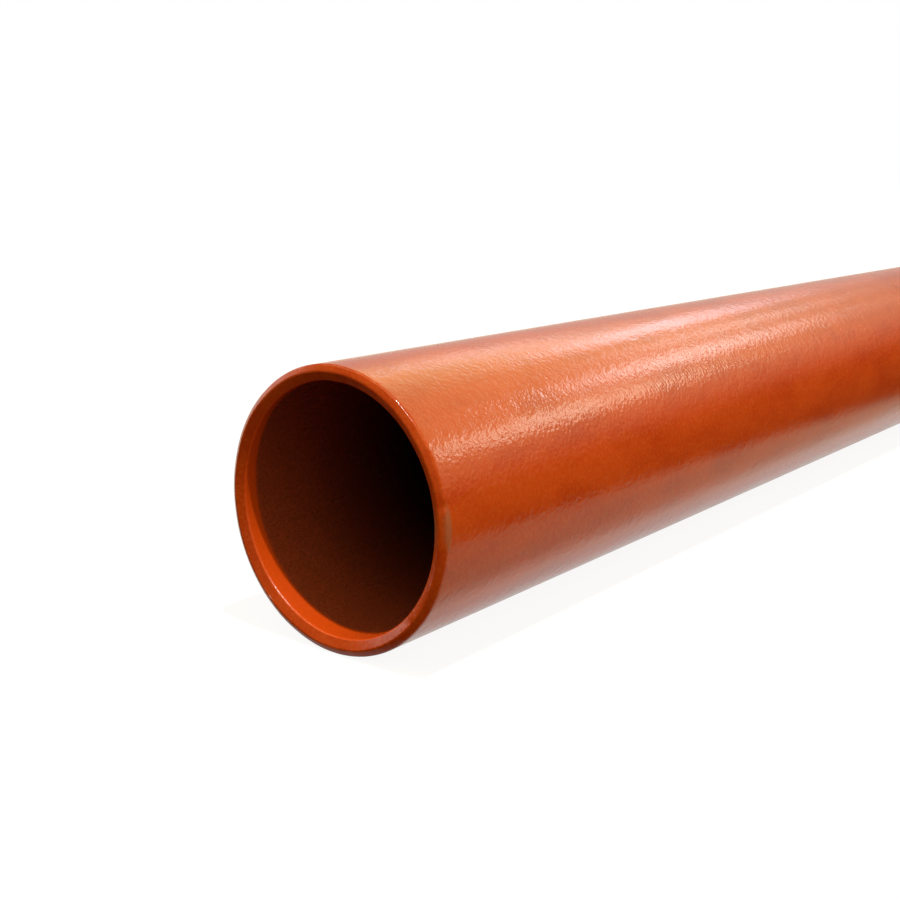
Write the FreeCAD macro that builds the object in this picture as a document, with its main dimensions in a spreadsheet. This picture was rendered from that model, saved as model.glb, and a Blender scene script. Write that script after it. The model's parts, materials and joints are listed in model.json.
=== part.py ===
import FreeCAD
import Part
import Sketcher
import math
import os

# Painted steel gas pipe, DN 50 (2 inch), medium wall, in a plain-ended length.
#
# Millimetres. The pipe lies along X on a level floor: the origin is under the middle of its length,
# at floor height, and +Z is up. The wall is one piece of welded steel tube, so the model is one body:
# a section of the wall, with its sloped and rounded ends, turned about the pipe's axis.

PARTS_FOLDER = "parts"
NODE = "pipe"

# Driving dimensions: alias, value, and what it is.
DIMENSIONS = [
    ("outside_diameter", 60.3, "outside diameter of DN 50 gas pipe"),
    ("wall_thickness", 3.6, "wall of the medium series"),
    ("pipe_length", 1000.0, "cut length, end to end"),
    ("bevel_width", 1.3, "radial width of the bevel on the outside edge of each end"),
    ("land_width", 0.5, "radial width of the flat land between bevel and inner chamfer"),
    ("end_angle", 30.0, "slope of bevel and inner chamfer, from the plane of the end, in degrees"),
    ("outer_round", 0.7, "radius where the bevel meets the outside"),
    ("land_round", 0.6, "radius at both edges of the land"),
    ("bore_round", 0.7, "radius where the inner chamfer meets the bore"),
]

# How much of the land and of its neighbours the rounding takes, and the straight sizes it leaves.
ROUNDED_OFF = "Dimensions.land_round * tan(Dimensions.end_angle * 0.5 deg)"
LAND_FLAT = f"Dimensions.land_width - 2 * {ROUNDED_OFF}"
BEVEL_DROP = f"Dimensions.bevel_width + {ROUNDED_OFF}"


def make_sheet(doc):
    """The spreadsheet of driving dimensions, one alias in each row."""
    sheet = doc.addObject("Spreadsheet::Sheet", "Dimensions")
    for row, (alias, value, meaning) in enumerate(DIMENSIONS, start=1):
        sheet.set(f"A{row}", meaning)
        sheet.set(f"B{row}", str(value))
        sheet.setAlias(f"B{row}", alias)
    return sheet


def origin_feature(body, role):
    """The body's own origin plane or axis with that role."""
    return next(f for f in body.Origin.OriginFeatures if f.Role == role)


def section_corners(sheet):
    """The wall's section with sharp corners: (x, radius, rounding), counter-clockwise."""
    outer = sheet.outside_diameter / 2
    bore = outer - sheet.wall_thickness
    land_outer = outer - sheet.bevel_width
    land_inner = land_outer - sheet.land_width
    slope = math.tan(math.radians(sheet.end_angle))
    end = sheet.pipe_length / 2
    right = [
        (end - (land_inner - bore) * slope, bore, sheet.bore_round),
        (end, land_inner, sheet.land_round),
        (end, land_outer, sheet.land_round),
        (end - sheet.bevel_width * slope, outer, sheet.outer_round),
    ]
    left = [(-x, y, rounding) for x, y, rounding in reversed(right)]
    return right + left


def corner_arc(before, corner, after):
    """The arc that rounds a corner, with the points where it leaves the two straight sides."""
    here = FreeCAD.Vector(corner[0], corner[1], 0)
    back = (FreeCAD.Vector(before[0], before[1], 0) - here).normalize()
    ahead = (FreeCAD.Vector(after[0], after[1], 0) - here).normalize()
    half = back.getAngle(ahead) / 2
    rounding = corner[2]
    centre = here + (back + ahead).normalize() * (rounding / math.sin(half))
    reach = rounding / math.tan(half)
    first, last = here + back * reach, here + ahead * reach
    begins = math.atan2(first.y - centre.y, first.x - centre.x)
    turns = math.pi - 2 * half
    circle = Part.Circle(centre, FreeCAD.Vector(0, 0, 1), rounding)
    return first, last, Part.ArcOfCircle(circle, begins, begins + turns)


def draw_wall_section(sketch, sheet):
    """Half of the pipe's lengthwise section: the wall above the axis, with its shaped ends.

    The sketch's X runs along the pipe and its Y is the radius. The outline goes round the section
    counter-clockwise: an arc at each corner, and the straight side that follows it.
    """
    corners = section_corners(sheet)
    count = len(corners)
    arcs = [corner_arc(corners[i - 1], corners[i], corners[(i + 1) % count]) for i in range(count)]
    for i, (_, last, arc) in enumerate(arcs):
        sketch.addGeometry(arc, False)
        sketch.addGeometry(Part.LineSegment(last, arcs[(i + 1) % count][0]), False)

    start, finish = 1, 2
    pieces = 2 * count
    for i in range(pieces):
        sketch.addConstraint(Sketcher.Constraint("Tangent", i, finish, (i + 1) % pieces, start))

    bore_arc, chamfer, inner_arc, land, land_arc, bevel, outer_arc, outside = range(count)
    far_outer_arc, _, far_land_arc, far_land, far_inner_arc, _, far_bore_arc, bore = range(count, pieces)
    origin, point, upright = -1, 1, -2
    for side, far_side in ((outside, outside), (land, far_land)):
        sketch.addConstraint(Sketcher.Constraint("Symmetric", side, start, far_side, finish, upright))
    sketch.addConstraint(Sketcher.Constraint("Symmetric", land, finish, far_land, start, upright))
    sketch.addConstraint(Sketcher.Constraint("Symmetric", bore, start, bore, finish, upright))
    sketch.addConstraint(Sketcher.Constraint("Vertical", land))
    like_arcs = (
        (outer_arc, far_outer_arc),
        (land_arc, far_land_arc),
        (inner_arc, far_inner_arc),
        (bore_arc, far_bore_arc),
        (land_arc, inner_arc),
    )
    for one, other in like_arcs:
        sketch.addConstraint(Sketcher.Constraint("Equal", one, other))

    def size(name, constraint, formula):
        """A driving size of the sketch, tied to the sheet."""
        index = sketch.addConstraint(constraint)
        sketch.renameConstraint(index, name)
        sketch.setExpression(f"Constraints.{name}", formula)

    def distance(kind, one, one_end, other, other_end, value):
        return Sketcher.Constraint(kind, one, one_end, other, other_end, value)

    rounded_off = sheet.land_round * math.tan(math.radians(sheet.end_angle / 2))
    size(
        "outer_radius",
        distance("DistanceY", origin, point, outside, start, sheet.outside_diameter / 2),
        "Dimensions.outside_diameter / 2",
    )
    size(
        "wall",
        distance("DistanceY", bore, finish, outside, start, sheet.wall_thickness),
        "Dimensions.wall_thickness",
    )
    size(
        "half_length",
        distance("DistanceX", origin, point, land, start, sheet.pipe_length / 2),
        "Dimensions.pipe_length / 2",
    )
    size(
        "bevel_drop",
        distance("DistanceY", land, finish, outside, start, sheet.bevel_width + rounded_off),
        BEVEL_DROP,
    )
    size(
        "land_flat",
        distance("DistanceY", land, start, land, finish, sheet.land_width - 2 * rounded_off),
        LAND_FLAT,
    )
    size(
        "bevel_slope",
        Sketcher.Constraint("Angle", bevel, math.radians(90 + sheet.end_angle)),
        "90 deg + Dimensions.end_angle * 1 deg",
    )
    size(
        "chamfer_slope",
        Sketcher.Constraint("Angle", chamfer, math.radians(90 - sheet.end_angle)),
        "90 deg - Dimensions.end_angle * 1 deg",
    )
    for arc, alias in ((outer_arc, "outer_round"), (land_arc, "land_round"), (bore_arc, "bore_round")):
        size(alias, Sketcher.Constraint("Radius", arc, getattr(sheet, alias)), f"Dimensions.{alias}")


def make_pipe(doc, sheet):
    """The pipe's one body: the section of its wall, and a full turn of it."""
    body = doc.addObject("PartDesign::Body", "Pipe")
    body.Label = NODE
    section = body.newObject("Sketcher::SketchObject", "WallSection")
    section.AttachmentSupport = (origin_feature(body, "XZ_Plane"), "")
    section.MapMode = "FlatFace"
    draw_wall_section(section, sheet)
    doc.recompute()
    if not section.FullyConstrained:
        raise RuntimeError("the wall section has a size left free")

    turned = body.newObject("PartDesign::Revolution", "TurnedWall")
    turned.Profile = section
    turned.ReferenceAxis = (origin_feature(body, "X_Axis"), [""])
    turned.Angle = 360.0
    body.setExpression("Placement.Base.z", "Dimensions.outside_diameter / 2")
    doc.recompute()
    return body


def check(doc, bodies):
    """Stops the build if any object failed, or a piece isn't one valid solid."""
    for item in doc.Objects:
        if "Invalid" in item.State or "Error" in item.State:
            raise RuntimeError(f"{item.Label} failed: {item.State}")
    for body in bodies:
        shape = body.Shape
        if shape.isNull() or not shape.isValid() or len(shape.Solids) != 1:
            raise RuntimeError(f"{body.Label} isn't one valid solid")


def main():
    doc = FreeCAD.newDocument("GasPipe")
    sheet = make_sheet(doc)
    doc.recompute()
    bodies = [make_pipe(doc, sheet)]
    check(doc, bodies)
    os.makedirs(PARTS_FOLDER, exist_ok=True)
    for body in bodies:
        body.Shape.exportStep(os.path.join(PARTS_FOLDER, body.Label + ".step"))
        box = body.Shape.optimalBoundingBox(False)
        print(
            f"{body.Label}: {box.XLength:.2f} x {box.YLength:.2f} x {box.ZLength:.2f} mm,"
            f" lowest z {box.ZMin:.3f}, volume {body.Shape.Volume / 1000:.2f} cm3"
        )
        for face in body.Shape.Faces:
            if isinstance(face.Surface, Part.Cylinder):
                print(f"round wall: radius {face.Surface.Radius:.3f}, {face.BoundBox.XLength:.2f} mm long")


main()
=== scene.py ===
# %% [markdown]
# # A painted steel gas pipe
#
# This lesson dresses one short length of steel gas pipe. The exact model of the pipe comes in as a
# fixed frame. On top of it we turn a smoother copy of the wall, give it a coat of glossy
# orange-red paint, and set up a small white studio around it.

# %% Load the exact model
import json
import math

import bmesh
import bpy
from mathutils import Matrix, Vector, noise

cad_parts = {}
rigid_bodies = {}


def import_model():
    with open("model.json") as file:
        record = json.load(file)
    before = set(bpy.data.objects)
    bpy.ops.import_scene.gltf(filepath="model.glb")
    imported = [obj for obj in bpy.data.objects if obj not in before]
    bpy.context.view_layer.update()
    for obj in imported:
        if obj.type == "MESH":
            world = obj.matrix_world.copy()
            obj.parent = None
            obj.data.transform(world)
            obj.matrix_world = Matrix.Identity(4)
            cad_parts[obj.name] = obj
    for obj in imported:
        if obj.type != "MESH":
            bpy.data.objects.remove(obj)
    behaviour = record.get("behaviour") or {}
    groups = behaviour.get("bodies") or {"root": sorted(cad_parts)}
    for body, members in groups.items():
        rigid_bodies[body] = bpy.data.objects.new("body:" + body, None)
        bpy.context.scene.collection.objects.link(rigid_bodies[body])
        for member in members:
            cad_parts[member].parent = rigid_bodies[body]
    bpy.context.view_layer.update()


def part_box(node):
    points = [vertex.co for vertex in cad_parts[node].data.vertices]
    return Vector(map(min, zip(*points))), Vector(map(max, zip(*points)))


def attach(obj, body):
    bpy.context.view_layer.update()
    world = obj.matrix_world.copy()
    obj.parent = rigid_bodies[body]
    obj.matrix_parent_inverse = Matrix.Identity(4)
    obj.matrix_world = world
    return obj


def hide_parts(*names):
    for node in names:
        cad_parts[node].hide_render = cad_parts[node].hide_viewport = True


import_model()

MM = 0.001

# %% [markdown]
# ## Where the pipe is
#
# Every position in this file comes from the box of the exact model. The pipe lies along X, so the
# two short sides of its box are its outside diameter, and half of that is the height of its axis.

# %% Measure the exact model
low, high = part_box("pipe")
OUTSIDE_RADIUS = (high.z - low.z) / 2
HALF_LENGTH = (high.x - low.x) / 2
AXIS_HEIGHT = low.z + OUTSIDE_RADIUS
NEAR_END = low.x
print(f"radius {OUTSIDE_RADIUS / MM:.2f} mm, length {2 * HALF_LENGTH / MM:.1f} mm")

# %% [markdown]
# ## The section of the wall
#
# A mill cuts the tube square, bevels the outside edge for welding, leaves a narrow flat land, and
# breaks the inside edge with a small chamfer. Paint then rounds every corner. We could model each
# end with booleans, but the whole pipe is one section turned about its axis, so the section alone
# holds all of that: eight corners, each rounded with a vertex bevel.

# %% Sizes of the section
WALL = 3.6 * MM
BEVEL_WIDTH = 1.3 * MM
LAND_WIDTH = 0.5 * MM
END_SLOPE = math.radians(30)
OUTER_ROUND = 0.7 * MM
LAND_ROUND = 0.6 * MM
BORE_ROUND = 0.7 * MM
ROUND_SEGMENTS = 5
RING_DEPTHS = (2.0 * MM, 2.8 * MM, 4.0 * MM, 8.0 * MM)
TURN_STEPS = 384
SKIN = 0.02 * MM  # the copy stays this far inside the exact box

outer = OUTSIDE_RADIUS - SKIN
bore = OUTSIDE_RADIUS - WALL
land_outer = OUTSIDE_RADIUS - BEVEL_WIDTH
land_inner = land_outer - LAND_WIDTH
end = HALF_LENGTH - SKIN


# %% One end of the section, and its mirror
def end_corners():
    """Corners of the right-hand end: distance along the pipe, radius and rounding."""
    slope = math.tan(END_SLOPE)
    return [
        (end - (land_inner - bore) * slope, bore, BORE_ROUND, 2 * END_SLOPE),
        (end, land_inner, LAND_ROUND, END_SLOPE),
        (end, land_outer, LAND_ROUND, END_SLOPE),
        (end - BEVEL_WIDTH * slope, outer, OUTER_ROUND, 2 * END_SLOPE),
    ]


right_end = end_corners()
left_end = [(-x, *rest) for x, *rest in reversed(right_end)]
section = right_end + left_end
print("section corners:", len(section))


# %% [markdown]
# ## Turning the wall
#
# `bmesh.ops.spin` does what a lathe does. The section is drawn as a wire in the plane through the
# pipe's axis, its corners are rounded while it is still flat, and one full turn closes the wall.
# The exact model comes in as flat strips, and the glossy streaks along a painted pipe would show
# every one of them, so this copy has many narrow ones. A few extra rings are cut near each end, so
# that a mark on the rim doesn't pull on the long faces of the body.


# %% Draw, round and spin the section
def turn_wall():
    """A bmesh of the pipe's wall, smooth and closed."""
    bm = bmesh.new()
    corners = [bm.verts.new((x, 0, AXIS_HEIGHT + radius)) for x, radius, _, _ in section]
    for i, corner in enumerate(corners):
        bm.edges.new((corner, corners[(i + 1) % len(corners)]))
    for corner, (_, _, rounding, turn) in zip(corners, section):
        bmesh.ops.bevel(
            bm,
            geom=[corner],
            offset=rounding * math.tan(turn / 2),
            offset_type="OFFSET",
            affect="VERTICES",
            segments=ROUND_SEGMENTS,
            profile=0.5,
            material=-1,
        )
    bmesh.ops.spin(
        bm,
        geom=bm.verts[:] + bm.edges[:],
        cent=(0, 0, AXIS_HEIGHT),
        axis=(1, 0, 0),
        angle=math.tau,
        steps=TURN_STEPS,
        use_merge=True,
    )
    bmesh.ops.remove_doubles(bm, verts=bm.verts[:], dist=0.001 * MM)
    for depth in RING_DEPTHS:
        for side in (-1, 1):
            bmesh.ops.bisect_plane(
                bm,
                geom=bm.verts[:] + bm.edges[:] + bm.faces[:],
                dist=0.001 * MM,
                plane_co=(side * (HALF_LENGTH - depth), 0, 0),
                plane_no=(1, 0, 0),
            )
    bmesh.ops.recalc_face_normals(bm, faces=bm.faces[:])
    return bm


wall = turn_wall()
print("faces:", len(wall.faces), "volume cm3:", round(wall.calc_volume() * 1e6, 1))

# %% [markdown]
# ## Marks of the cutter
#
# No real end is a perfect ring. The inside edge wanders a little where the reamer chattered, and a
# knock has pressed a small nick into the outside edge. We move the points of the rings by a slow
# noise. No point moves away from the outside or the end face, so the pipe never leaves its box.

# %% Wander and nick
END_ZONE = 2.2 * MM
WANDER = 0.16 * MM
WANDER_LENGTH = 9.0 * MM
NICK_DEPTH = 0.28 * MM
NICK_REACH = 1.1 * MM
NICK_ANGLE = math.radians(11.0)
NICK_LEAN = 0.7  # the blow came at a slant, so this much of it goes each way
REAMED_FROM = 0.5  # share of the wall, from the outside in, that the reamer never touched
REAMED_WIDER = 0.5  # added to the noise, so that most points move outwards, into the steel


def mark_ends(bm):
    """Lets the edges of both ends wander, and presses the nick into the near end."""
    nick = Vector(
        (
            NEAR_END + BEVEL_WIDTH * math.tan(END_SLOPE),
            -OUTSIDE_RADIUS * math.cos(NICK_ANGLE),
            AXIS_HEIGHT + OUTSIDE_RADIUS * math.sin(NICK_ANGLE),
        )
    )
    for vert in bm.verts:
        depth = HALF_LENGTH - abs(vert.co.x)
        if depth > END_ZONE:
            continue
        out = Vector((0, vert.co.y, vert.co.z - AXIS_HEIGHT))
        inside = (OUTSIDE_RADIUS - out.length) / WALL
        wave = noise.noise(vert.co.normalized() * (OUTSIDE_RADIUS / WANDER_LENGTH) + vert.co / WANDER_LENGTH)
        fade = 1 - depth / END_ZONE
        vert.co -= Vector((math.copysign(1, vert.co.x), 0, 0)) * WANDER * fade * abs(wave)
        if inside > REAMED_FROM:
            vert.co += out.normalized() * WANDER * fade * (REAMED_WIDER + wave)
        near = (vert.co - nick).length
        if near < NICK_REACH:
            dent = (1 - (near / NICK_REACH) ** 2) ** 2
            push = Vector((1, 0, 0)) - out.normalized()
            vert.co += push * NICK_DEPTH * NICK_LEAN * dent


mark_ends(wall)
print(f"volume after the marks: {wall.calc_volume() * 1e6:.2f} cm3")

# %% [markdown]
# ## From bmesh to an object
#
# The piece rides on the pipe's one body, and the exact node is hidden, so the viewer sees this
# copy. Smooth shading hides the facets that remain.

# %% Make the piece
mesh = bpy.data.meshes.new("pipe_wall")
wall.to_mesh(mesh)
wall.free()
mesh.polygons.foreach_set("use_smooth", [True] * len(mesh.polygons))
pipe = bpy.data.objects.new("pipe_wall", mesh)
bpy.context.scene.collection.objects.link(pipe)
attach(pipe, "root")
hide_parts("pipe")
print("triangles:", sum(len(p.vertices) - 2 for p in mesh.polygons))


# %% [markdown]
# ## Helpers for materials
#
# A colour is written as the hex value a painter would pick on a screen, and one function turns it
# into the linear numbers that the renderer works with. A second small function adds a node, sets
# its values and joins its inputs. The settings that come back often have a short name.


# %% Colour and node helpers
def linear(hex_colour):
    """Linear RGBA of an sRGB hex colour such as C8440F."""
    channels = [int(hex_colour[i : i + 2], 16) / 255 for i in (0, 2, 4)]
    return (*[c / 12.92 if c <= 0.04045 else ((c + 0.055) / 1.055) ** 2.4 for c in channels], 1)


def add(tree, kind, settings=None, **inputs):
    """Adds a node. settings are its own properties; inputs are values or sockets to link."""
    node = tree.nodes.new(kind)
    for name, value in (settings or {}).items():
        setattr(node, name, value)
    for name, value in inputs.items():
        socket = node.inputs[int(name[1:])] if name[1:].isdigit() else node.inputs[name.replace("_", " ")]
        if isinstance(value, bpy.types.NodeSocket):
            tree.links.new(value, socket)
        else:
            socket.default_value = value
    return node


def new_tree(name):
    """A material with an empty node tree and its output node."""
    material = bpy.data.materials.new(name)
    material.use_nodes = True
    tree = material.node_tree
    tree.nodes.clear()
    return material, tree, tree.nodes.new("ShaderNodeOutputMaterial")


PLUS = {"operation": "ADD"}
MINUS = {"operation": "SUBTRACT"}
TIMES = {"operation": "MULTIPLY"}
TIMES_PLUS = {"operation": "MULTIPLY_ADD"}
OVER = {"operation": "DIVIDE"}
LARGER = {"operation": "MAXIMUM"}
LENGTH = {"operation": "LENGTH"}
SMOOTH = {"interpolation_type": "SMOOTHSTEP"}
OF_COLOURS = {"data_type": "RGBA"}
print("white is", linear("FFFFFF"))

# %% [markdown]
# ## The paint
#
# Gas and sprinkler pipe is painted at the mill with a fast orange-red alkyd, sprayed thin over the
# scaled steel. Three things give it away. It is glossy, so it draws every lamp into a long streak.
# Its skin is orange peel, with cells just under a millimetre wide that break those streaks into
# grain. And its colour is uneven: thicker and redder in the hollows, thin and paler on the crests.
#
# We could paint the bore with a material of its own, but the coat runs on round the rim without a
# seam, so one material does the whole pipe. The shader finds the bore by its distance from the
# pipe's axis.

# %% Paint: where on the pipe
BORE_BEGINS = 0.36 * MM
BORE_FULLY = 0.20 * MM

# The eye takes this coat for glossy paint on steel: saturated, with long soft streaks.
paint, tree, output = new_tree("orange_alkyd_paint_on_steel")
place = add(tree, "ShaderNodeTexCoord").outputs["Object"]
centred = add(tree, "ShaderNodeMapping", Vector=place, Location=(0, 0, -AXIS_HEIGHT)).outputs[0]
parts = add(tree, "ShaderNodeSeparateXYZ", Vector=centred)
across = add(tree, "ShaderNodeCombineXYZ", Y=parts.outputs["Y"], Z=parts.outputs["Z"])
radius = add(tree, "ShaderNodeVectorMath", LENGTH, i0=across.outputs[0]).outputs["Value"]
in_bore = add(
    tree,
    "ShaderNodeMapRange",
    SMOOTH,
    Value=radius,
    From_Min=bore + BORE_BEGINS,
    From_Max=bore + BORE_FULLY,
).outputs["Result"]
print(f"bore colour starts at radius {(bore + BORE_BEGINS) / MM:.2f} mm")

# %% [markdown]
# Every pattern is noise with cells of a real width. The stretch draws it out along the pipe, the
# way the steel was drawn.

# %% Paint: patterns at their real size
PATTERNS = {
    # name: width of a cell, detail, stretch along the pipe
    "peel": (0.88 * MM, 1.5, 0.95),
    "ripple": (2.6 * MM, 1.0, 1.0),
    "speckle": (0.45 * MM, 2.0, 1.0),
    "patches": (10.0 * MM, 3.0, 2.5),
}
NOISE_ROUGHNESS = 0.55

pattern = {}
for name, (width, detail, stretch) in PATTERNS.items():
    stretched = add(tree, "ShaderNodeMapping", Vector=centred, Scale=(1 / stretch, 1, 1)).outputs[0]
    pattern[name] = add(
        tree,
        "ShaderNodeTexNoise",
        Vector=stretched,
        Scale=1 / width,
        Detail=detail,
        Roughness=NOISE_ROUGHNESS,
    ).outputs["Fac"]
    print(f"{name}: cells {width / MM:.2f} mm wide")

# %% [markdown]
# On the body the coat is thicker and redder in broad hollows, and thinner and paler on the crests
# of the orange peel. Two soft masks lay those colours over the plain one.

# %% Paint: colour of the body
PAINT_COLOUR = "D0490F"
PAINT_THICK = "BC3A0B"
PAINT_THIN = "DE6A2C"
HOLLOWS = (0.58, 0.36, 0.7)  # pattern level where they start, where they are full, share of colour
CRESTS = (0.45, 0.70, 0.22)

body_colour = linear(PAINT_COLOUR)
for name, (starts, full, share), tone in (
    ("patches", HOLLOWS, PAINT_THICK),
    ("peel", CRESTS, PAINT_THIN),
):
    mask = add(
        tree, "ShaderNodeMapRange", Value=pattern[name], From_Min=starts, From_Max=full, To_Max=share
    ).outputs["Result"]
    body_colour = add(tree, "ShaderNodeMix", OF_COLOURS, i0=mask, i6=body_colour, i7=linear(tone)).outputs[2]
print("body:", PAINT_COLOUR, PAINT_THICK, PAINT_THIN)

# %% [markdown]
# Inside the bore the paint is only overspray: full orange for the first few millimetres, then thin
# and brown. The orange reaches a little further in at the bottom, where the lamp's light falls, and
# less far at the top, and deeper in the colour falls to near black: both are painted light and shade,
# standing in for the light that fades inside the bore. The depth is the distance from the nearer end,
# so both ends get the same treatment.

# %% Paint: colour of the bore
BORE_PAINT_AND_SHADE_DEPTH = 90.0 * MM
# painted light and shade: the ramp is tilted by height, so the orange reaches further in at the bottom, where
# the lamp's light falls, and less far at the top, which lies in shade
BORE_SHADE_TILT_DEPTH = 1.98 * MM
BORE_STOPS = [
    # depth, colour
    (3.78 * MM, "E8500F"),
    (4.68 * MM, "A8462B"),
    (18.0 * MM, "A8462B"),
    # painted shade: the fall from brown to near black stands in for the light fading deeper in the bore
    (58.5 * MM, "1C0B06"),
]
BORE_GRAIN = "4A1E10"
GRAIN = (0.60, 0.35, 0.45)

off_middle = add(tree, "ShaderNodeMath", {"operation": "ABSOLUTE"}, i0=parts.outputs["X"]).outputs[0]
depth_in = add(
    tree,
    "ShaderNodeMapRange",
    Value=off_middle,
    From_Min=HALF_LENGTH,
    From_Max=HALF_LENGTH - BORE_PAINT_AND_SHADE_DEPTH,
).outputs["Result"]
# painted light and shade: tilt the depth by height, so the bottom of the bore stays orange further in than
# the top
bore_shade_tilt = BORE_SHADE_TILT_DEPTH / BORE_PAINT_AND_SHADE_DEPTH / bore
depth_in = add(tree, "ShaderNodeMath", TIMES_PLUS, i0=parts.outputs["Z"], i1=bore_shade_tilt, i2=depth_in).outputs[0]
bands = add(tree, "ShaderNodeValToRGB", i0=depth_in)
stops = bands.color_ramp.elements
while len(stops) < len(BORE_STOPS):
    stops.new(0.5)
for stop, (depth, tone) in zip(stops, BORE_STOPS):
    stop.position = depth / BORE_PAINT_AND_SHADE_DEPTH
    stop.color = linear(tone)
past_mouth = add(
    tree,
    "ShaderNodeMapRange",
    SMOOTH,
    Value=depth_in,
    From_Min=BORE_STOPS[0][0] / BORE_PAINT_AND_SHADE_DEPTH,
    From_Max=BORE_STOPS[1][0] / BORE_PAINT_AND_SHADE_DEPTH,
).outputs["Result"]
grit = add(
    tree,
    "ShaderNodeMapRange",
    Value=pattern["speckle"],
    From_Min=GRAIN[0],
    From_Max=GRAIN[1],
    To_Max=GRAIN[2],
).outputs["Result"]
grit = add(tree, "ShaderNodeMath", TIMES, i0=grit, i1=past_mouth).outputs[0]
bore_colour = add(
    tree, "ShaderNodeMix", OF_COLOURS, i0=grit, i6=bands.outputs["Color"], i7=linear(BORE_GRAIN)
).outputs[2]
colour = add(tree, "ShaderNodeMix", OF_COLOURS, i0=in_bore, i6=body_colour, i7=bore_colour).outputs[2]
print("bore depths mm:", [round(depth / MM, 2) for depth, _ in BORE_STOPS])

# %% [markdown]
# The nick broke the paint, and rust water has stained a narrow strip of the body just behind it.
# The strip is found the way a fitter would describe it: so far from the end, so far round.

# %% Paint: stain behind the nick
STAIN_COLOUR = "A5694C"
STAIN_FROM_END = 1.3 * MM
STAIN_WIDTH = 1.0 * MM
STAIN_MIDDLE_HEIGHT = 1.2 * MM
STAIN_HALF_HEIGHT = 5.0 * MM
STAIN_RAGGED = 0.8
STAIN_FADES, STAIN_FULL, STAIN_SHARE = 1.6, 0.9, 0.60

from_end = add(tree, "ShaderNodeMath", MINUS, i0=parts.outputs["X"], i1=NEAR_END).outputs[0]
off_band = add(tree, "ShaderNodeMath", MINUS, i0=from_end, i1=STAIN_FROM_END).outputs[0]
off_height = add(tree, "ShaderNodeMath", MINUS, i0=parts.outputs["Z"], i1=STAIN_MIDDLE_HEIGHT).outputs[0]
along = add(tree, "ShaderNodeMath", OVER, i0=off_band, i1=STAIN_WIDTH).outputs[0]
round_it = add(tree, "ShaderNodeMath", OVER, i0=off_height, i1=STAIN_HALF_HEIGHT).outputs[0]
spot = add(tree, "ShaderNodeCombineXYZ", X=along, Y=round_it).outputs[0]
distance = add(tree, "ShaderNodeVectorMath", LENGTH, i0=spot).outputs["Value"]
ragged = add(tree, "ShaderNodeMath", TIMES_PLUS, i0=pattern["peel"], i1=STAIN_RAGGED, i2=distance).outputs[0]
stain = add(
    tree,
    "ShaderNodeMapRange",
    SMOOTH,
    Value=ragged,
    From_Min=STAIN_FADES,
    From_Max=STAIN_FULL,
    To_Max=STAIN_SHARE,
).outputs["Result"]
near_side = add(tree, "ShaderNodeMath", {"operation": "LESS_THAN"}, i0=parts.outputs["Y"], i1=0.0).outputs[0]
stain = add(tree, "ShaderNodeMath", TIMES, i0=stain, i1=near_side).outputs[0]
colour = add(tree, "ShaderNodeMix", OF_COLOURS, i0=stain, i6=colour, i7=linear(STAIN_COLOUR)).outputs[2]
print(f"stain {STAIN_FROM_END / MM:.1f} mm from the end")

# %% [markdown]
# Relief is bump: a few heights, each a real depth in metres, so the paint behaves the same at any
# distance. Roughness follows the patches, because thin paint over scale is a little duller.

# %% Paint: gloss and relief
RELIEF = {"peel": 0.080 * MM, "ripple": 0.075 * MM, "speckle": 0.016 * MM}
BORE_GRIT = 0.02 * MM
GLOSS = 0.11
DULL = 0.17
DULL_PATCHES = (0.35, 0.65)
BORE_DULLER = 0.12
PAINT_IOR = 1.52

height = 0.0
for name, depth in RELIEF.items():
    height = add(tree, "ShaderNodeMath", TIMES_PLUS, i0=pattern[name], i1=depth, i2=height).outputs[0]
grit_here = add(tree, "ShaderNodeMath", TIMES, i0=in_bore, i1=BORE_GRIT).outputs[0]
height = add(tree, "ShaderNodeMath", TIMES_PLUS, i0=pattern["speckle"], i1=grit_here, i2=height).outputs[0]
relief = add(tree, "ShaderNodeBump", Strength=1.0, Distance=1.0, Height=height)
gloss = add(
    tree,
    "ShaderNodeMapRange",
    Value=pattern["patches"],
    From_Min=DULL_PATCHES[0],
    From_Max=DULL_PATCHES[1],
    To_Min=GLOSS,
    To_Max=DULL,
).outputs["Result"]
gloss = add(tree, "ShaderNodeMath", TIMES_PLUS, i0=in_bore, i1=BORE_DULLER, i2=gloss).outputs[0]
shader = add(
    tree,
    "ShaderNodeBsdfPrincipled",
    Base_Color=colour,
    Roughness=gloss,
    IOR=PAINT_IOR,
    Normal=relief.outputs["Normal"],
)
tree.links.new(shader.outputs["BSDF"], output.inputs["Surface"])
mesh.materials.append(paint)
print("paint nodes:", len(tree.nodes))

# %% [markdown]
# ## The table
#
# The pipe lies on white paper. A plane at floor height is enough, but it has two jobs. To the
# camera it is plain white with a soft shadow. To the glossy paint it is a glowing sheet, a painted
# reflection: it ends a hand's breadth in front of the pipe, stops level with its near end, and glows
# brightest just under the pipe, which is why the lower half of the pipe looks milky, while the band
# above it and the rim keep their full colour.

# %% Table
TABLE_SIDE = 16.0

table_mesh = bpy.data.meshes.new("table")
bm = bmesh.new()
bmesh.ops.create_grid(bm, x_segments=1, y_segments=1, size=TABLE_SIDE / 2)
bm.to_mesh(table_mesh)
bm.free()
table = bpy.data.objects.new("table", table_mesh)
bpy.context.scene.collection.objects.link(table)
print("table side:", TABLE_SIDE, "m")

# %% Paper: where the sheet is
SHEET_EDGE = -0.078
SHEET_TURN = 0.125
EDGE_FADES = (-0.012, 0.006)
END_FADE = 0.004
DARK_TABLE = 0.04

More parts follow.
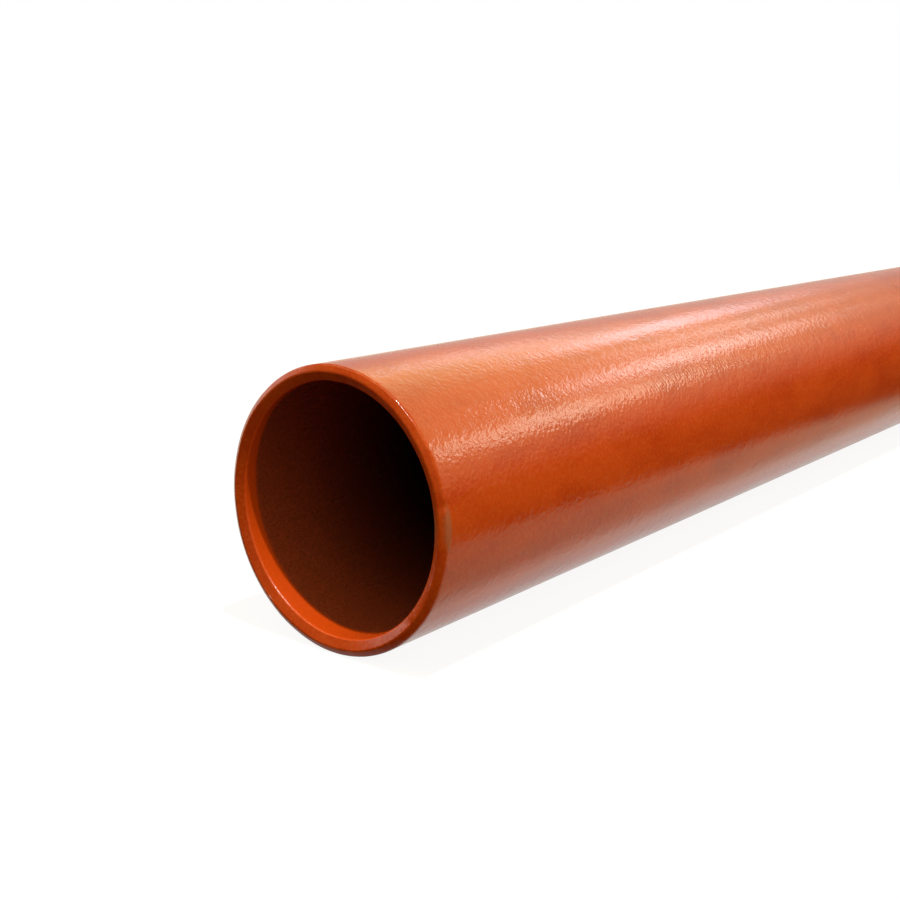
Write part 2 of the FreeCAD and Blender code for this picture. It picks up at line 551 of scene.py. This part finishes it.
# The eye takes this for clean white paper that the pipe stands out from.
paper, tree, output = new_tree("white_paper")
rays = add(tree, "ShaderNodeLightPath")
to_eye, to_gloss = rays.outputs["Is Camera Ray"], rays.outputs["Is Glossy Ray"]
place = add(tree, "ShaderNodeSeparateXYZ", Vector=add(tree, "ShaderNodeTexCoord").outputs["Object"])
edge_line = add(
    tree, "ShaderNodeMath", TIMES_PLUS, i0=place.outputs["X"], i1=-SHEET_TURN, i2=place.outputs["Y"]
).outputs[0]
edge_at = SHEET_EDGE - SHEET_TURN * NEAR_END
sheet = add(
    tree,
    "ShaderNodeMapRange",
    SMOOTH,
    Value=edge_line,
    From_Min=edge_at + EDGE_FADES[0],
    From_Max=edge_at + EDGE_FADES[1],
    To_Min=DARK_TABLE,
).outputs["Result"]
beyond = add(
    tree,
    "ShaderNodeMapRange",
    SMOOTH,
    Value=place.outputs["X"],
    From_Min=NEAR_END - END_FADE,
    From_Max=NEAR_END + END_FADE,
).outputs["Result"]
sheet = add(tree, "ShaderNodeMath", TIMES, i0=sheet, i1=beyond).outputs[0]
print(f"sheet ends {-SHEET_EDGE / MM:.0f} mm in front of the axis at the near end")

# %% Paper: colour and lift
PAPER_FOR_LIGHT = "A39A80"
TABLE_FOR_LIGHT = "36332A"
PAPER_FOR_CAMERA = "666666"
PAPER_LIFT = 0.915
# painted reflection: in the gloss of the paint the sheet glows, faintly in general and brightest just under
# the pipe, where the pipe's own shadow lies
PAINTED_REFLECTION_GLOW = 0.20
PAINTED_REFLECTION_UNDER_PIPE = 0.65
UNDER_STARTS, UNDER_FULL = 1.15, 0.70  # in outside radii from the axis

not_gloss = add(
    tree, "ShaderNodeMath", {"operation": "SUBTRACT", "use_clamp": True}, i0=1.0, i1=to_gloss
).outputs[0]
bright = add(tree, "ShaderNodeMath", LARGER, i0=sheet, i1=not_gloss).outputs[0]
for_light = add(
    tree, "ShaderNodeMix", OF_COLOURS, i0=beyond, i6=linear(TABLE_FOR_LIGHT), i7=linear(PAPER_FOR_LIGHT)
).outputs[2]
toned = add(
    tree, "ShaderNodeMix", OF_COLOURS, i0=to_eye, i6=for_light, i7=linear(PAPER_FOR_CAMERA)
).outputs[2]
white = add(tree, "ShaderNodeMix", OF_COLOURS, i0=bright, i6=linear("000000"), i7=toned).outputs[2]
matt = add(tree, "ShaderNodeBsdfDiffuse", Color=white)
# painted reflection: the glow seen in the gloss rises towards the paper just under the pipe
reflection_glow_under_pipe = add(
    tree,
    "ShaderNodeMapRange",
    SMOOTH,
    Value=place.outputs["Y"],
    From_Min=-UNDER_STARTS * OUTSIDE_RADIUS,
    From_Max=-UNDER_FULL * OUTSIDE_RADIUS,
    To_Min=PAINTED_REFLECTION_GLOW,
    To_Max=PAINTED_REFLECTION_UNDER_PIPE,
).outputs["Result"]
camera_lift = add(tree, "ShaderNodeMath", TIMES, i0=to_eye, i1=PAPER_LIFT).outputs[0]
painted_reflection_lift = add(tree, "ShaderNodeMath", TIMES, i0=to_gloss, i1=reflection_glow_under_pipe).outputs[0]
lift = add(tree, "ShaderNodeMath", TIMES_PLUS, i0=painted_reflection_lift, i1=sheet, i2=camera_lift).outputs[0]
glow = add(tree, "ShaderNodeEmission", Color=linear("FFFFFF"), Strength=lift)
both = add(tree, "ShaderNodeAddShader", i0=matt.outputs[0], i1=glow.outputs[0])
tree.links.new(both.outputs[0], output.inputs["Surface"])
table_mesh.materials.append(paper)
print("paper nodes:", len(tree.nodes))

# %% [markdown]
# ## Light
#
# Four kinds of light make the look: the room, one hard lamp, a row of windows and a tube. The room
# comes first. It is dim on the side of the viewer, and bright beyond and behind the pipe, which
# warms its top and whitens the two outlines. The camera sees it as plain white. Each part of the
# room is a smooth step along one axis of the direction a ray looks in.

# %% Room
ROOM_PARTS = {
    # name: axis, where it starts, where it is full, brightness
    "ahead": ("X", 0.45, 0.75, 1.0),
    "behind": ("Y", 0.0, 0.40, 0.65),
    "close_wall": ("Y", 0.75, 0.97, 1.2),
    "viewer": ("X", 0.35, -0.15, 0.58),
    "beside": ("Y", -0.35, -0.95, 1.45),
}
UPPER_STARTS, UPPER_FULL, UPPER_GLOW = 0.13, 0.55, 1.3
UPPER_LEANS = -0.2
AHEAD_DIMMED = -0.65  # for light that only fills
VIEWER_DIMMED = -0.93  # for reflections
FROM_ABOVE, FROM_LEVEL = 1.2, 0.44
DARKEST = 0.02
ROOM_TINT = "FFF4E6"
UPPER_TINT = "FFFFBC"

world = bpy.data.worlds.new("room")
bpy.context.scene.world = world
world.use_nodes = True
tree = world.node_tree
tree.nodes.clear()
output = tree.nodes.new("ShaderNodeOutputWorld")
rays = add(tree, "ShaderNodeLightPath").outputs
of_camera, of_gloss = rays["Is Camera Ray"], rays["Is Glossy Ray"]
ray_direction = add(tree, "ShaderNodeTexCoord").outputs["Generated"]
looking = add(tree, "ShaderNodeSeparateXYZ", Vector=ray_direction).outputs
room = {}
for name, (axis, starts, full, brightness) in ROOM_PARTS.items():
    room[name] = add(
        tree,
        "ShaderNodeMapRange",
        SMOOTH,
        Value=looking[axis],
        From_Min=starts,
        From_Max=full,
        To_Max=brightness,
    ).outputs["Result"]
print("parts of the room:", ", ".join(room))

# %% Room: put together
fills = add(tree, "ShaderNodeMath", TIMES_PLUS, i0=rays["Is Diffuse Ray"], i1=AHEAD_DIMMED, i2=1.0).outputs[0]
ahead = add(tree, "ShaderNodeMath", TIMES, i0=room["ahead"], i1=fills).outputs[0]
back_wall = add(tree, "ShaderNodeMath", TIMES, i0=room["behind"], i1=ahead).outputs[0]
back_wall = add(tree, "ShaderNodeMath", PLUS, i0=back_wall, i1=room["close_wall"]).outputs[0]
leaning = add(tree, "ShaderNodeMath", TIMES_PLUS, i0=looking["Y"], i1=UPPER_LEANS, i2=looking["Z"]).outputs[0]
above = add(
    tree, "ShaderNodeMapRange", SMOOTH, Value=leaning, From_Min=UPPER_STARTS, From_Max=UPPER_FULL
).outputs["Result"]
upper_wall = add(tree, "ShaderNodeMath", TIMES, i0=above, i1=ahead).outputs[0]
upper_wall = add(tree, "ShaderNodeMath", TIMES, i0=upper_wall, i1=UPPER_GLOW).outputs[0]
dimmed = add(tree, "ShaderNodeMath", TIMES_PLUS, i0=of_gloss, i1=VIEWER_DIMMED, i2=1.0).outputs[0]
slope = add(tree, "ShaderNodeMath", TIMES_PLUS, i0=looking["Z"], i1=FROM_ABOVE, i2=FROM_LEVEL).outputs[0]
viewer_side = add(tree, "ShaderNodeMath", LARGER, i0=room["viewer"], i1=room["beside"]).outputs[0]
viewer_side = add(tree, "ShaderNodeMath", TIMES, i0=viewer_side, i1=dimmed).outputs[0]
viewer_side = add(tree, "ShaderNodeMath", TIMES, i0=viewer_side, i1=slope).outputs[0]
level = add(tree, "ShaderNodeMath", PLUS, i0=back_wall, i1=upper_wall).outputs[0]
level = add(tree, "ShaderNodeMath", LARGER, i0=level, i1=viewer_side).outputs[0]
level = add(tree, "ShaderNodeMath", PLUS, i0=level, i1=DARKEST).outputs[0]
seen = add(tree, "ShaderNodeMath", LARGER, i0=level, i1=of_camera).outputs[0]
warm = add(
    tree, "ShaderNodeMix", OF_COLOURS, i0=above, i6=linear(ROOM_TINT), i7=linear(UPPER_TINT)
).outputs[2]
tint = add(
    tree, "ShaderNodeMix", OF_COLOURS, i0=of_camera, i6=warm, i7=linear("FFFFFF")
).outputs[2]
sky = add(tree, "ShaderNodeBackground", Color=tint, Strength=seen)
tree.links.new(sky.outputs[0], output.inputs["Surface"])
print("room nodes:", len(tree.nodes))

# %% [markdown]
# A small hard lamp nearly overhead gives the paint its level. It leans a little towards the near
# end, so its light just enters the mouth and draws the bright crescent at the bottom of the bore.

# %% Lamp overhead
LAMP_FROM = Vector((-0.100, -0.267, 0.958)).normalized()
LAMP_WIDTH = math.radians(0.8)
LAMP_STRENGTH = 1.68

lamp = bpy.data.lights.new("overhead_lamp", "SUN")
lamp.energy = LAMP_STRENGTH
lamp.angle = LAMP_WIDTH
lamp_object = bpy.data.objects.new("overhead_lamp", lamp)
lamp_object.rotation_euler = LAMP_FROM.to_track_quat("Z", "Y").to_euler()
bpy.context.scene.collection.objects.link(lamp_object)
print(f"lamp reaches {2 * bore * -LAMP_FROM.x / LAMP_FROM.z / MM:.1f} mm into the bore")

# %% [markdown]
# The streaks along the top are windows beyond the pipe's other end, seen in the paint. Each one is
# a pane of light at its own direction from the near end. It shows only in the gloss, so moving a
# window moves a streak and leaves the colour of the paint alone.

# %% Windows beyond the far end
WINDOW_DISTANCE = 2.0
WINDOWS = [
    # name, azimuth from, to, elevation from, to, brightness, colour
    ("window_far_back", 21.0, 32.0, 25.0, 29.5, 1.6, "F6EEFF"),
    ("window_back", 12.0, 19.0, 20.5, 30.5, 2.6, "F2EAFF"),
    ("window_middle", 1.0, 5.5, 23.5, 31.0, 2.4, "FFFFFF"),
    ("window_front", -13.5, -5.5, 24.0, 31.0, 4.6, "FFFFFF"),
    ("window_side", -35.0, -20.5, 21.5, 27.5, 4.2, "FFFFE8"),
]


def direction(azimuth, elevation):
    """Unit vector: azimuth in degrees from +X towards +Y, elevation above the horizon."""
    a, e = math.radians(azimuth), math.radians(elevation)
    return Vector((math.cos(a) * math.cos(e), math.sin(a) * math.cos(e), math.sin(e)))


def add_pane(name, size, brightness, colour, place, turn):
    """A glowing pane of light, drawn only in the gloss of the paint."""
    pane = bpy.data.lights.new(name, "AREA")
    pane.shape = "RECTANGLE"
    pane.color = linear(colour)[:3]
    pane.size, pane.size_y = size
    pane.energy = brightness * math.pi * pane.size * pane.size_y
    holder = bpy.data.objects.new(name, pane)
    holder.location = place
    holder.rotation_euler = turn
    holder.visible_camera = False
    holder.visible_diffuse = False
    bpy.context.scene.collection.objects.link(holder)


for name, az_from, az_to, el_from, el_to, brightness, tone in WINDOWS:
    middle = direction((az_from + az_to) / 2, (el_from + el_to) / 2) * WINDOW_DISTANCE
    size = [2 * WINDOW_DISTANCE * math.tan(math.radians(s) / 2) for s in (az_to - az_from, el_to - el_from)]
    spot = Vector((NEAR_END, 0, AXIS_HEIGHT)) + middle
    add_pane(name, size, brightness, tone, spot, middle.to_track_quat("Z", "Y").to_euler())
    print(f"{name}: {size[0]:.2f} x {size[1]:.2f} m")

# %% [markdown]
# A long tube light hangs across the pipe, just in front of the near end. It faces down and shows
# only in the gloss too, where it draws the thin bright line along the rounded corner of the rim.

# %% Tube light above the near end
TUBE_AT = Vector((NEAR_END - 0.15, 0, 1.2))
TUBE_SIZE = (2.4, 0.25)
TUBE_BRIGHTNESS = 4.5
TUBE_TINT = "FFDFA8"

add_pane("tube_light", TUBE_SIZE, TUBE_BRIGHTNESS, TUBE_TINT, TUBE_AT, (0, 0, math.radians(90)))
print(f"tube light {TUBE_AT.z:.1f} m above the table")

# %% [markdown]
# ## Camera
#
# The camera stands a little to the side of the near end and above it, close enough that the pipe
# narrows strongly as it runs away. It is described by where it stands and where it looks.

# %% Camera
LENS = 50.18
RISE = -0.18
EYE = Vector((-0.68051, -0.17582, 0.09861))
LOOK = Vector((0.77751, 0.62234, -0.09038))

camera = bpy.data.cameras.new("camera")
camera.lens = LENS
camera.sensor_width = 36.0
camera.shift_y = RISE
camera.clip_start = 0.01
camera_object = bpy.data.objects.new("camera", camera)
camera_object.location = EYE
camera_object.rotation_euler = LOOK.to_track_quat("-Z", "Y").to_euler()
bpy.context.scene.collection.objects.link(camera_object)
bpy.context.scene.camera = camera_object
bpy.context.scene.view_settings.view_transform = "Standard"
print("camera at", tuple(round(value, 3) for value in EYE))

# %% Sizes, and the end
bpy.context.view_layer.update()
